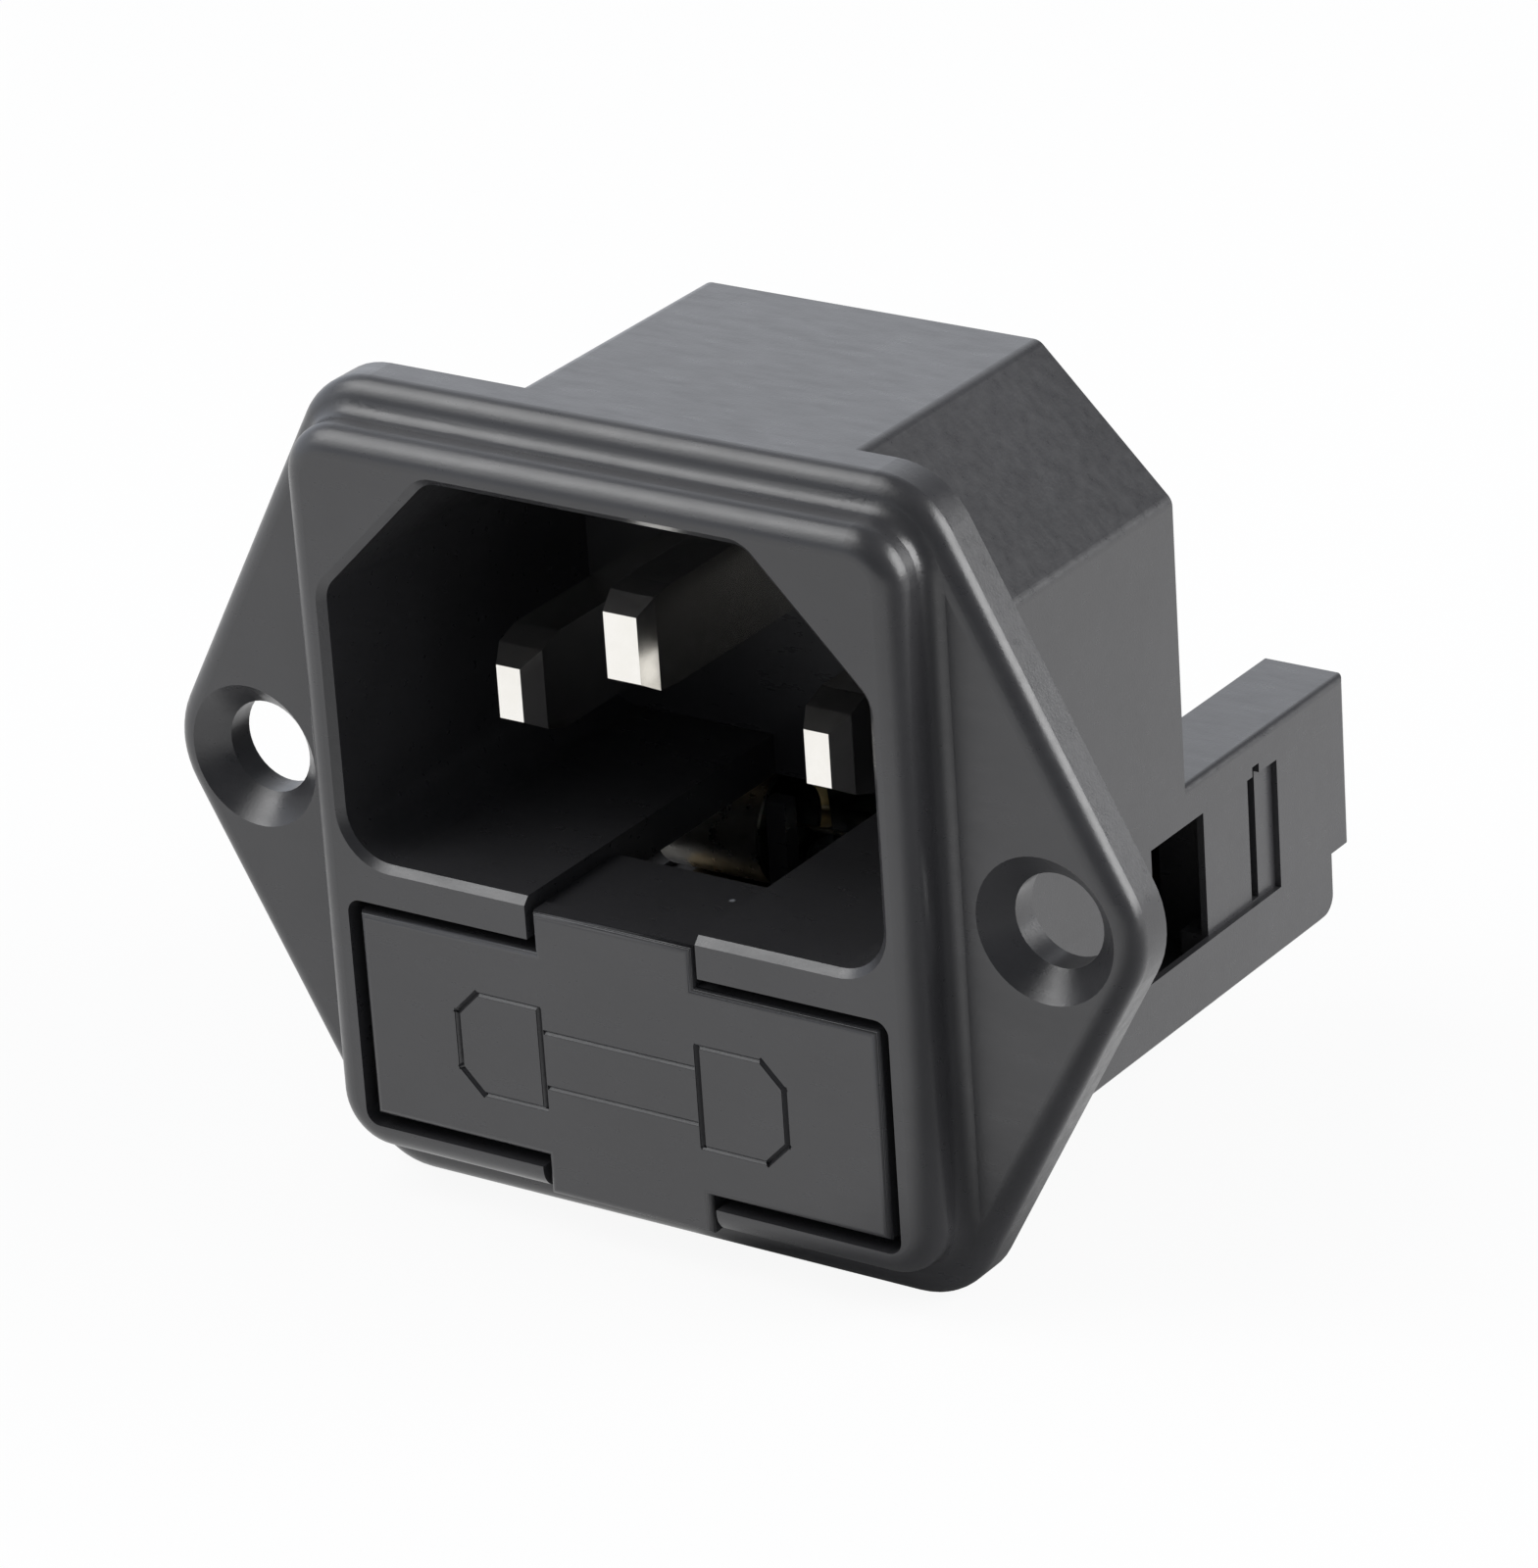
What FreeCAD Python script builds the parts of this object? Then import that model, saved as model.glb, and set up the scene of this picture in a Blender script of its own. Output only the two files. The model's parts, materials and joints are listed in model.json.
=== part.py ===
import FreeCAD, Part
import math
import os

from FreeCAD import Vector

# C14 panel inlet with a fuse drawer, in millimetres.
# Origin: midway between the two screw holes, on the flange's rear face, which sits on the panel.
# +X is to the right seen from the front, +Y runs rearwards through the panel, +Z is up.

# ---- flange, ears and screw holes ----
screw_pitch = 36.0
screw_hole_radius = 1.9
countersink_radius = 2.95
ear_radius = 3.85
ear_slope_deg = 28.5
flange_thickness = 2.2
flange_half_height = 16.6
flange_corner_radius = 3.4
flange_front_round = 0.9

# ---- raised bezel on the flange's front ----
bezel_height = 2.15
bezel_half_width = 13.8
bezel_top_margin = 1.25
bezel_bottom_margin = 1.85
bezel_corner_radius = 2.2
bezel_front_round = 1.0
bezel_foot_round = 0.7

# ---- recess that takes the connector ----
recess_half_width = 12.24
recess_top_rim = 1.4
recess_bottom = -2.28
recess_chamfer = 5.14
recess_corner_round = 1.2
recess_bottom_radius = 2.0
recess_depth = 17.0
recess_lip = 0.3
back_wall = 3.2
side_wall = 0.96
top_wall = 1.15
outer_chamfer = 5.6
shroud_edge_round = 0.6
shroud_rear_chamfer = 0.3

# ---- pins ----
pin_spacing = 14.0
pin_row_height = 3.87
earth_pin_height = 7.87
pin_width = 2.0
pin_height = 4.0
pin_set_back = 4.3
earth_pin_set_back = 2.15
pin_point_length = 2.0
pin_bevel_length = 0.9
pin_bevel_rise = 0.53
power_pin_flat_width = 1.1
power_pin_flat_height = 2.2
earth_pin_flat_width = 1.5
earth_pin_flat_height = 2.7
pin_wall_clearance = 0.02
pin_neck_radius = 0.85
pin_neck_bury = 0.5
pin_head_radius = 1.35
pin_head_thickness = 0.5
pin_head_chamfer = 0.25

# ---- quick-connect terminals ----
tab_width = 6.3
tab_thickness = 0.8
tab_length = 8.0
tab_foot_reach = 1.9
tab_head_clearance = 0.1
tab_bend_radius = 0.5
tab_tip_chamfer = 1.2
tab_hole_radius = 0.85
tab_hole_from_tip = 3.3

# ---- drawer plate, tunnel and the fuse block behind the flange ----
plate_recess_half_width = 12.35
plate_recess_rim = 1.12
plate_recess_depth = 3.45
plate_recess_corner = 0.6
bar_thickness = 1.7
tunnel_side_gap = 0.4
tunnel_floor = -11.0
block_floor_wall = 1.4
block_bottom_chamfer = 0.25
rear_wall = 3.2
central_roof_wall = 0.78
cheek_inner = 9.6
cheek_top = -2.45
cheek_reach = 5.4
cheek_step = 1.2
cheek_step_height = -9.7
cheek_rear_round = 1.0
cheek_edge_round = 0.3
cheek_wall = 1.2
cheek_pocket_depth = 4.0

# ---- openings in the recess floor and the block's sides ----
floor_channel_depth = 0.65
floor_window_set_back = 6.05
side_window_length = 7.0
side_window_tall_length = 4.3
side_window_past_fuse = 2.4
side_window_top = -4.0
side_window_shoulder_height = -5.07
side_window_bottom = -9.5
side_groove_depth = 0.35
side_pad_depth = 0.25
side_lip_thickness = 0.3
side_relief_drop = 1.2

# ---- fuse in use and spare fuse, 5 x 20 ----
fuse_length = 20.0
cap_radius = 2.55
cap_length = 5.2
cap_wall = 0.22
cap_end_wall = 0.3
cap_end_chamfer = 0.25
glass_wall = 0.45
glass_fit = 0.02
glass_end_gap = 0.2
fuse_wire_radius = 0.1
fuse_height = -7.2
fuse_depth = 14.8

# ---- fuse clips ----
clip_sheet = 0.4
clip_grip_clearance = 0.08
clip_inner = 5.2
clip_width = 4.0
clip_waist = 1.9
clip_wrap_deg = 55.0
clip_mouth_flare = 0.15
clip_mouth_length = 1.2
clip_mouth_start = 1.7
clip_bend_radius = 0.5
clip_slot_width = 0.5
clip_slot_past_tunnel = 1.6
clip_slot_top = -3.6
clip_slot_bottom = -9.4
clip_slot_clearance = 0.12
clip_lug_set_in = 2.2
clip_pocket_clearance = 0.4

# ---- strap between the line pin and its clip ----
strap_sheet = 0.6
strap_width = 3.0
strap_above_pin = 2.3
strap_below_rivet = 1.9
strap_bend_radius = 0.7

# ---- rivets ----
rivet_radius = 0.75
rivet_hole_clearance = 0.05
rivet_head_radius = 1.3
rivet_head_thickness = 0.4

# ---- fuse drawer ----
drawer_side_gap = 0.5
drawer_top_gap = 0.47
drawer_bottom_gap = 0.5
drawer_seat_gap = 0.1
drawer_end_gap = 0.75
drawer_edge_round = 0.3
finger_tab_half_width = 3.64
finger_tab_top = -2.78
finger_tab_thickness = 1.05
finger_notch_clearance = 0.25
lower_tab_half_width = 3.75
lower_tab_thickness = 1.6
tray_fuse_end_gap = 0.5
tray_floor_thickness = 0.8
tray_side_wall = 0.8
tray_wall_height = 4.5
tray_cross_wall = 0.8
tray_wide_set_back = 4.3
fuse_seat_clearance = 0.05
spare_end_gap = 0.3
cradle_half_width = 4.6
cradle_rear_wall = 0.8
cradle_rib_offset = 3.0
cradle_rib_width = 0.9
cradle_rib_front = 0.8

# ---- how far cuts and hidden overlaps reach past the faces they meet ----
past = 1.0

# ---- worked out from the sizes above ----
tray_half_width = fuse_length / 2 + tray_fuse_end_gap + tray_side_wall
tunnel_half_width = tray_half_width + tunnel_side_gap
hole_x = screw_pitch / 2
front_y = -flange_thickness - bezel_height
bezel_top = flange_half_height - bezel_top_margin
bezel_bottom = bezel_bottom_margin - flange_half_height
recess_top = bezel_top - recess_top_rim
recess_back_y = front_y + recess_depth
body_rear_y = recess_back_y + back_wall
body_half_width = recess_half_width + side_wall
body_top = recess_top + top_wall
tunnel_roof = recess_bottom - bar_thickness
block_bottom = tunnel_floor - block_floor_wall
cradle_end_y = fuse_depth + cap_radius + spare_end_gap
tunnel_end = cradle_end_y + cradle_rear_wall + drawer_end_gap
block_rear_y = tunnel_end + rear_wall
cheek_length = block_rear_y + cheek_reach
central_roof_top = tunnel_roof + central_roof_wall
pin_x = pin_spacing / 2
plate_recess_bottom = bezel_bottom + plate_recess_rim
plate_back_y = front_y + plate_recess_depth - drawer_seat_gap
plate_top = tunnel_roof - drawer_top_gap
plate_bottom = plate_recess_bottom + drawer_bottom_gap
plate_half_width = plate_recess_half_width - drawer_side_gap
tray_floor_top = fuse_height - cap_radius - fuse_seat_clearance
tray_floor_bottom = tray_floor_top - tray_floor_thickness
tray_wall_top = tray_floor_top + tray_wall_height
spare_depth = plate_back_y + spare_end_gap + cap_radius
spare_wall_y = spare_depth + cap_radius + spare_end_gap
glass_radius = cap_radius - cap_wall - glass_fit
clip_outer = clip_inner + clip_width
clip_slot_centre = tunnel_end + clip_slot_past_tunnel
web_y = clip_slot_centre - clip_sheet / 2
floor_window_front = front_y + floor_window_set_back
finger_notch_half_width = finger_tab_half_width + finger_notch_clearance
side_window_rear = fuse_depth + side_window_past_fuse
side_window_front = side_window_rear - side_window_length
side_window_shoulder = side_window_rear - side_window_tall_length
tray_wide_end_y = fuse_depth - tray_wide_set_back


def block(x0, x1, y0, y1, z0, z1):
    """A plain block between two corners."""
    return Part.makeBox(x1 - x0, y1 - y0, z1 - z0, Vector(x0, y0, z0))


def both_sides(shape):
    """The shape and its mirror image in the plane X = 0."""
    return [shape, shape.mirror(Vector(0, 0, 0), Vector(1, 0, 0))]


def prism(points, y0, y1):
    """A closed outline of (x, z) points, drawn at y0 and carried to y1."""
    corners = [Vector(x, y0, z) for x, z in points]
    face = Part.Face(Part.makePolygon(corners + corners[:1]))
    return face.extrude(Vector(0, y1 - y0, 0))


def rod(x, z, radius, y0, y1):
    """A round bar along Y."""
    return Part.makeCylinder(radius, y1 - y0, Vector(x, y0, z), Vector(0, 1, 0))


def bar(x0, x1, y, z, radius):
    """A round bar along X."""
    return Part.makeCylinder(radius, x1 - x0, Vector(x0, y, z), Vector(1, 0, 0))


def edges_where(shape, test):
    """The edges whose two ends and middle all pass the test."""
    found = []
    for edge in shape.Edges:
        first, last = edge.ParameterRange
        places = [edge.valueAt(first + (last - first) * part) for part in (0.0, 0.5, 1.0)]
        if all(test(place) for place in places):
            found.append(edge)
    return found


def edges_along(shape, direction, test):
    """The straight edges along one direction whose middles pass the test."""
    found = []
    for edge in shape.Edges:
        if edge.Curve.TypeId != "Part::GeomLine":
            continue
        if edge.Curve.Direction.cross(direction).Length > 1e-6:
            continue
        if test(edge.CenterOfMass):
            found.append(edge)
    return found


def near(value, target):
    return abs(value - target) < 1e-4


def chamfered_outline(half_width, bottom, top, chamfer):
    """The recess's outline: a rectangle with its two top corners cut at 45 degrees."""
    return [
        (-half_width, bottom),
        (half_width, bottom),
        (half_width, top - chamfer),
        (half_width - chamfer, top),
        (chamfer - half_width, top),
        (-half_width, top - chamfer),
    ]


def rounded_path(points, radii):
    """A path of (y, z) points in the plane X = 0, each inner corner rounded to its radius."""
    corners = [Vector(0, y, z) for y, z in points]
    edges = []
    start = corners[0]
    for index, radius in enumerate(radii, 1):
        corner = corners[index]
        back = (corners[index - 1] - corner).normalize()
        ahead = (corners[index + 1] - corner).normalize()
        half_angle = back.getAngle(ahead) / 2
        reach = radius / math.tan(half_angle)
        middle = (back + ahead).normalize() * (radius / math.sin(half_angle) - radius)
        arc_start = corner + back * reach
        arc_end = corner + ahead * reach
        if (arc_start - start).Length > 1e-6:
            edges.append(Part.makeLine(start, arc_start))
        edges.append(Part.Arc(arc_start, corner + middle, arc_end).toShape())
        start = arc_end
    edges.append(Part.makeLine(start, corners[-1]))
    return Part.Wire(edges)


def bent_strip(points, radii, sheet, x0, x1):
    """Sheet metal of one width, bent along a path in the YZ plane."""
    path = rounded_path(points, radii)
    start = path.Edges[0].valueAt(path.Edges[0].FirstParameter)
    ahead = Vector(0, points[1][0] - points[0][0], points[1][1] - points[0][1]).normalize()
    across = Vector(0, -ahead.z, ahead.y) * (sheet / 2)
    ends = [start + across, start - across]
    corners = [Vector(x0, ends[0].y, ends[0].z), Vector(x1, ends[0].y, ends[0].z)]
    corners += [Vector(x1, ends[1].y, ends[1].z), Vector(x0, ends[1].y, ends[1].z)]
    section = Part.Wire(Part.makePolygon(corners + corners[:1]))
    return path.makePipeShell([section], True, True)


# ---- housing ----

def flange():
    """The plate with two rounded ears, its slanted sides tangent to the ear ends."""
    slope = math.radians(ear_slope_deg)
    side = hole_x * math.cos(slope) + ear_radius
    tip_x = side / math.cos(slope)
    corner_x = (side - flange_half_height * math.sin(slope)) / math.cos(slope)
    high = flange_half_height
    outline = [(-tip_x, 0), (-corner_x, -high), (corner_x, -high)]
    outline += [(tip_x, 0), (corner_x, high), (-corner_x, high)]
    plate = prism(outline, -flange_thickness, 0)
    along = Vector(0, 1, 0)
    plate = plate.makeFillet(ear_radius, edges_along(plate, along, lambda p: near(p.z, 0)))
    corners = edges_along(plate, along, lambda p: near(abs(p.z), high))
    plate = plate.makeFillet(flange_corner_radius, corners)
    front = edges_where(plate, lambda p: near(p.y, -flange_thickness))
    return plate.makeFillet(flange_front_round, front)


def bezel():
    """The raised frame around the recess and the drawer."""
    outline = [
        (-bezel_half_width, bezel_bottom),
        (bezel_half_width, bezel_bottom),
        (bezel_half_width, bezel_top),
        (-bezel_half_width, bezel_top),
    ]
    frame = prism(outline, front_y, -flange_thickness / 2)
    frame = frame.makeFillet(bezel_corner_radius, edges_along(frame, Vector(0, 1, 0), lambda p: True))
    front = edges_where(frame, lambda p: near(p.y, front_y))
    return frame.makeFillet(bezel_front_round, front)


def fuse_block():
    """The tunnel's outside behind the recess: a low roof and rear wall between two long cheeks."""
    middle = block(-body_half_width, body_half_width, body_rear_y - past, block_rear_y, block_bottom,
                   central_roof_top)
    roof_edge = edges_along(
        middle, Vector(1, 0, 0),
        lambda p: near(p.y, block_rear_y) and near(p.z, central_roof_top))
    middle = middle.makeFillet(strap_bend_radius, roof_edge)
    cheek = block(cheek_inner, body_half_width, body_rear_y - past, cheek_length, block_bottom, cheek_top)
    outer_edges = edges_where(
        cheek, lambda p: near(p.x, body_half_width) and (near(p.z, cheek_top) or near(p.y, cheek_length)))
    cheek = cheek.makeFillet(cheek_edge_round, outer_edges)
    step = block(cheek_inner - past, body_half_width + past, cheek_length - cheek_step, cheek_length + past,
                 block_bottom - past, cheek_step_height)
    cheek = cheek.cut(step)
    rear_foot = edges_along(
        cheek, Vector(1, 0, 0),
        lambda p: near(p.y, cheek_length - cheek_step) and near(p.z, block_bottom))
    cheek = cheek.makeFillet(cheek_rear_round, rear_foot)
    pocket = block(cheek_inner + cheek_wall, body_half_width - cheek_wall,
                   cheek_length - cheek_pocket_depth, cheek_length + past,
                   cheek_step_height + cheek_wall, cheek_top - cheek_wall)
    cheek = cheek.cut(pocket)
    return middle.fuse(both_sides(cheek))


def outer_shell():
    """Everything outside: flange, bezel, the recess's shroud and the fuse block."""
    outline = chamfered_outline(body_half_width, block_bottom, body_top, outer_chamfer)
    shroud = prism(outline, -flange_thickness / 2, body_rear_y)
    long_edges = edges_along(shroud, Vector(0, 1, 0), lambda p: not near(p.z, block_bottom))
    shroud = shroud.makeFillet(shroud_edge_round, long_edges)
    rear = edges_where(shroud, lambda p: near(p.y, body_rear_y))
    shroud = shroud.makeChamfer(shroud_rear_chamfer, rear)
    shell = flange().fuse([bezel(), shroud, fuse_block()]).removeSplitter()
    feet = edges_along(
        shell, Vector(0, 0, 1),
        lambda p: near(p.y, -flange_thickness) and near(abs(p.x), bezel_half_width))
    if feet:
        shell = shell.makeFillet(bezel_foot_round, feet)
    lower = edges_along(
        shell, Vector(0, 1, 0),
        lambda p: near(p.z, block_bottom) and near(abs(p.x), body_half_width))
    return shell.makeChamfer(block_bottom_chamfer, lower)


def recess():
    """The connector's recess, with a small lip at the mouth, a finger channel and a floor window."""
    outline = chamfered_outline(recess_half_width, recess_bottom, recess_top, recess_chamfer)
    hollow = prism(outline, front_y, recess_back_y)
    floor = edges_along(hollow, Vector(0, 1, 0), lambda p: near(p.z, recess_bottom))
    hollow = hollow.makeFillet(recess_bottom_radius, floor)
    upper = edges_along(hollow, Vector(0, 1, 0), lambda p: p.z > recess_bottom + recess_bottom_radius + past)
    hollow = hollow.makeFillet(recess_corner_round, upper)
    mouth = [edge for edge in hollow.Edges if near(edge.BoundBox.YMax, front_y)]
    hollow_wire = Part.Wire(Part.__sortEdges__(mouth))
    wide = hollow_wire.makeOffset2D(recess_lip, 2)
    deep = hollow_wire.copy()
    deep.translate(Vector(0, recess_lip, 0))
    lip = Part.makeLoft([wide, deep], True, True)
    half = finger_notch_half_width
    channel = block(-half, half, front_y, floor_window_front + past,
                    recess_bottom - floor_channel_depth, recess_bottom + past)
    window = block(-half, half, floor_window_front, recess_back_y, tunnel_roof - past,
                   recess_bottom + past)
    return [hollow, lip, channel, window]


def drawer_tunnel():
    """The room for the drawer: a wide shallow seat for its plate, then the tunnel."""
    seat = block(-plate_recess_half_width, plate_recess_half_width, front_y - past,
                 front_y + plate_recess_depth, plate_recess_bottom, tunnel_roof)
    seat = seat.makeFillet(plate_recess_corner, edges_along(seat, Vector(0, 1, 0), lambda p: True))
    tunnel = block(-tunnel_half_width, tunnel_half_width, front_y, tunnel_end, tunnel_floor, tunnel_roof)
    upper_notch = block(-finger_notch_half_width, finger_notch_half_width, front_y - past,
                        front_y + finger_tab_thickness + finger_notch_clearance,
                        tunnel_roof - past, recess_bottom + past)
    half_notch = lower_tab_half_width + finger_notch_clearance
    lower_notch = block(-half_notch, half_notch, front_y - past,
                        front_y + lower_tab_thickness + finger_notch_clearance,
                        bezel_bottom - past, plate_recess_bottom + past)
    return [seat, tunnel, upper_notch, lower_notch]


def side_openings():
    """Per side: a stepped window with thin lips, a groove, a pad, and the clip's slot and pocket."""
    out = body_half_width
    window = block(tunnel_half_width - past, out + past, side_window_front, side_window_rear,
                   side_window_bottom, side_window_shoulder_height)
    upper = block(tunnel_half_width - past, out + past, side_window_shoulder, side_window_rear,
                  side_window_bottom, side_window_top)
    groove = block(out - side_groove_depth, out + past, 0, side_window_front + past,
                   side_window_bottom, side_window_shoulder_height)
    pad = block(out - side_pad_depth, out + past, side_window_rear - past, block_rear_y,
                side_window_bottom, side_window_top)
    behind_pad = block(tunnel_half_width - past, out - side_pad_depth - side_lip_thickness,
                       side_window_rear - past, tunnel_end, side_window_bottom, side_window_top)
    under_sill = block(tunnel_half_width - past, out - side_lip_thickness, side_window_front,
                       side_window_rear, side_window_bottom - side_relief_drop, side_window_bottom + past)
    slot = block(clip_outer, out + past, clip_slot_centre - clip_slot_width / 2,
                 clip_slot_centre + clip_slot_width / 2, clip_slot_bottom, clip_slot_top)
    reach = cap_radius + clip_grip_clearance + clip_sheet + clip_pocket_clearance
    pocket = block(clip_inner - clip_pocket_clearance, clip_outer + clip_pocket_clearance,
                   tunnel_end - past, clip_slot_centre + clip_slot_width / 2,
                   fuse_height - reach, tunnel_roof)
    rivet_hole = rod(pin_x, fuse_height, rivet_radius + rivet_hole_clearance, tunnel_end,
                     block_rear_y + past)
    parts = [upper, groove, pad, behind_pad, under_sill, slot, pocket, rivet_hole]
    return both_sides(window.fuse(parts))


def pin_hole(x, z):
    half_width = pin_width / 2 + pin_wall_clearance
    half_height = pin_height / 2 + pin_wall_clearance
    return block(x - half_width, x + half_width, recess_back_y - past, body_rear_y + past,
                 z - half_height, z + half_height)


def screw_hole():
    """A clearance hole with a 90 degree countersink."""
    hole = rod(hole_x, 0, screw_hole_radius, -flange_thickness - past, past)
    sink = Part.makeCone(countersink_radius + past, screw_hole_radius,
                         countersink_radius + past - screw_hole_radius,
                         Vector(hole_x, -flange_thickness - past, 0), Vector(0, 1, 0))
    return both_sides(hole.fuse(sink))


def housing():
    cutters = recess() + drawer_tunnel() + side_openings() + screw_hole()
    cutters += [pin_hole(-pin_x, pin_row_height), pin_hole(pin_x, pin_row_height)]
    cutters += [pin_hole(0, earth_pin_height)]
    return outer_shell().cut(cutters)


# ---- pins, terminals and strap ----

def pin(x, z, set_back, flat_width, flat_height, plate_thickness):
    """A flat pin with a tapered point, riveted over the plate behind the body."""
    tip_y = front_y + set_back

    def section(width, height, y):
        corners = [Vector(x - width / 2, y, z - height / 2), Vector(x + width / 2, y, z - height / 2)]
        corners += [Vector(x + width / 2, y, z + height / 2), Vector(x - width / 2, y, z + height / 2)]
        return Part.makePolygon(corners + corners[:1])

    sections = [section(flat_width, flat_height, tip_y)]
    sections += [section(pin_width, flat_height + 2 * pin_bevel_rise, tip_y + pin_bevel_length)]
    sections += [section(pin_width, pin_height, tip_y + pin_point_length)]
    point = Part.makeLoft(sections, True, True)
    blade = block(x - pin_width / 2, x + pin_width / 2, tip_y + pin_point_length, body_rear_y,
                  z - pin_height / 2, z + pin_height / 2)
    plate_rear = body_rear_y + plate_thickness
    neck = rod(x, z, pin_neck_radius, body_rear_y - pin_neck_bury, plate_rear + pin_head_chamfer)
    head = rod(x, z, pin_head_radius, plate_rear, plate_rear + pin_head_thickness)
    rim = edges_where(head, lambda p: near(p.y, plate_rear + pin_head_thickness))
    head = head.makeChamfer(pin_head_chamfer, rim)
    return point.fuse([blade, neck, head]).removeSplitter()


def tab_terminal(x, z, face_y, turn_deg, hole_radius):
    """A quick-connect tab: a riveted foot on a wall, bent once to stand out rearwards."""
    middle = tab_thickness / 2
    side = pin_head_radius + tab_head_clearance + tab_bend_radius + middle
    run = [(0.0, -tab_foot_reach), (0.0, side), (tab_length + middle, side)]
    strip = bent_strip(run, [tab_bend_radius + middle], tab_thickness, -tab_width / 2, tab_width / 2)
    strip.translate(Vector(0, middle, 0))
    tip_y = tab_length + tab_thickness
    corners = edges_along(strip, Vector(0, 0, 1), lambda p: near(p.y, tip_y))
    strip = strip.makeChamfer(tab_tip_chamfer, corners)
    hole = Part.makeCylinder(tab_hole_radius, side + past,
                             Vector(0, tip_y - tab_hole_from_tip, 0), Vector(0, 0, 1))
    fixing = rod(0, 0, hole_radius, -past, tab_thickness + past)
    strip = strip.cut([hole, fixing])
    strip.rotate(Vector(0, 0, 0), Vector(0, 1, 0), turn_deg)
    strip.translate(Vector(x, face_y, z))
    return strip


def line_strap():
    """Down the body's rear, over the tunnel's roof and down the rear wall to the right clip."""
    half = strap_sheet / 2
    run = [
        (body_rear_y + half, pin_row_height + strap_above_pin),
        (body_rear_y + half, central_roof_top + half),
        (block_rear_y + half, central_roof_top + half),
        (block_rear_y + half, fuse_height - strap_below_rivet),
    ]
    strap = bent_strip(run, [strap_bend_radius, strap_bend_radius], strap_sheet,
                       pin_x - strap_width / 2, pin_x + strap_width / 2)
    pin_fixing = rod(pin_x, pin_row_height, pin_neck_radius, body_rear_y - past,
                     body_rear_y + strap_sheet + past)
    clip_fixing = rod(pin_x, fuse_height, rivet_radius, block_rear_y - past,
                      block_rear_y + strap_sheet + past)
    return strap.cut([pin_fixing, clip_fixing])


def rivet(x, plate_thickness):
    """Holds the clip's web inside the rear wall to the plate outside it."""
    front = web_y - rivet_head_thickness
    rear = block_rear_y + plate_thickness
    shank = rod(x, fuse_height, rivet_radius, front, rear)
    heads = [rod(x, fuse_height, rivet_head_radius, front, web_y)]
    heads += [rod(x, fuse_height, rivet_head_radius, rear, rear + rivet_head_thickness)]
    return shank.fuse(heads).removeSplitter()


# ---- fuse clips and fuses ----

def fuse_clip():
    """The right clip: two jaws that wrap the cap from behind, a web, and a lug in the side slot."""
    wrap = math.radians(clip_wrap_deg)
    radius = cap_radius + clip_grip_clearance + clip_sheet / 2
    crown = radius * math.tan((math.pi / 2 - wrap) / 2)
    leave_y = radius * math.cos(wrap)
    leave_z = radius * math.sin(wrap)
    waist_y = leave_y + (leave_z - clip_waist) * math.tan(wrap)
    web = clip_slot_centre - fuse_depth
    mouth = -clip_mouth_start - clip_mouth_length
    half = [
        (mouth, radius + clip_mouth_flare),
        (-clip_mouth_start, radius),
        (crown, radius),
        (waist_y, clip_waist),
        (web, clip_waist),
    ]
    run = [(fuse_depth + y, fuse_height + z) for y, z in half]
    run += [(fuse_depth + y, fuse_height - z) for y, z in reversed(half)]
    bends = [clip_bend_radius * 2, radius, clip_bend_radius, clip_bend_radius]
    jaws = bent_strip(run, bends + bends[::-1], clip_sheet, clip_inner, clip_outer)
    lug = block(clip_outer - past, body_half_width - clip_lug_set_in, web_y, web_y + clip_sheet,
                clip_slot_bottom + clip_slot_clearance, clip_slot_top - clip_slot_clearance)
    neck = block(clip_outer - 2 * past, clip_outer, web_y - past, web_y + clip_sheet + past,
                 fuse_height + clip_waist - clip_bend_radius, clip_slot_top + past)
    lug = lug.cut(neck)
    hole = rod(pin_x, fuse_height, rivet_radius, web_y - past, web_y + clip_sheet + past)
    return jaws.fuse(lug).removeSplitter().cut(hole)


def glass_tube(y, z):
    reach = fuse_length / 2 - cap_end_wall - glass_end_gap
    tube = bar(-reach, reach, y, z, glass_radius)
    return tube.cut(bar(-reach - past, reach + past, y, z, glass_radius - glass_wall))


def fuse_cap(y, z):
    """The right cap: a drawn cup with a chamfered end."""
    half = fuse_length / 2
    cup = bar(half - cap_length, half, y, z, cap_radius)
    end = edges_where(cup, lambda p: near(p.x, half))
    cup = cup.makeChamfer(cap_end_chamfer, end)
    return cup.cut(bar(half - cap_length - past, half - cap_end_wall, y, z, cap_radius - cap_wall))


def fuse_wire(y, z):
    reach = fuse_length / 2 - cap_end_wall
    return bar(-reach, reach, y, z, fuse_wire_radius)


# ---- fuse drawer ----

def drawer_front():
    """The plate in the bezel, with a finger tab at its top and one at its bottom."""
    plate = block(-plate_half_width, plate_half_width, front_y, plate_back_y, plate_bottom, plate_top)
    upper = block(-finger_tab_half_width, finger_tab_half_width, front_y,
                  front_y + finger_tab_thickness, plate_top - past, finger_tab_top)
    lower = block(-lower_tab_half_width, lower_tab_half_width, front_y,
                  front_y + lower_tab_thickness, bezel_bottom, plate_bottom + past)
    front = plate.fuse([upper, lower]).removeSplitter()
    rim = edges_where(front, lambda p: near(p.y, front_y))
    return front.makeFillet(drawer_edge_round, rim)


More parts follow.
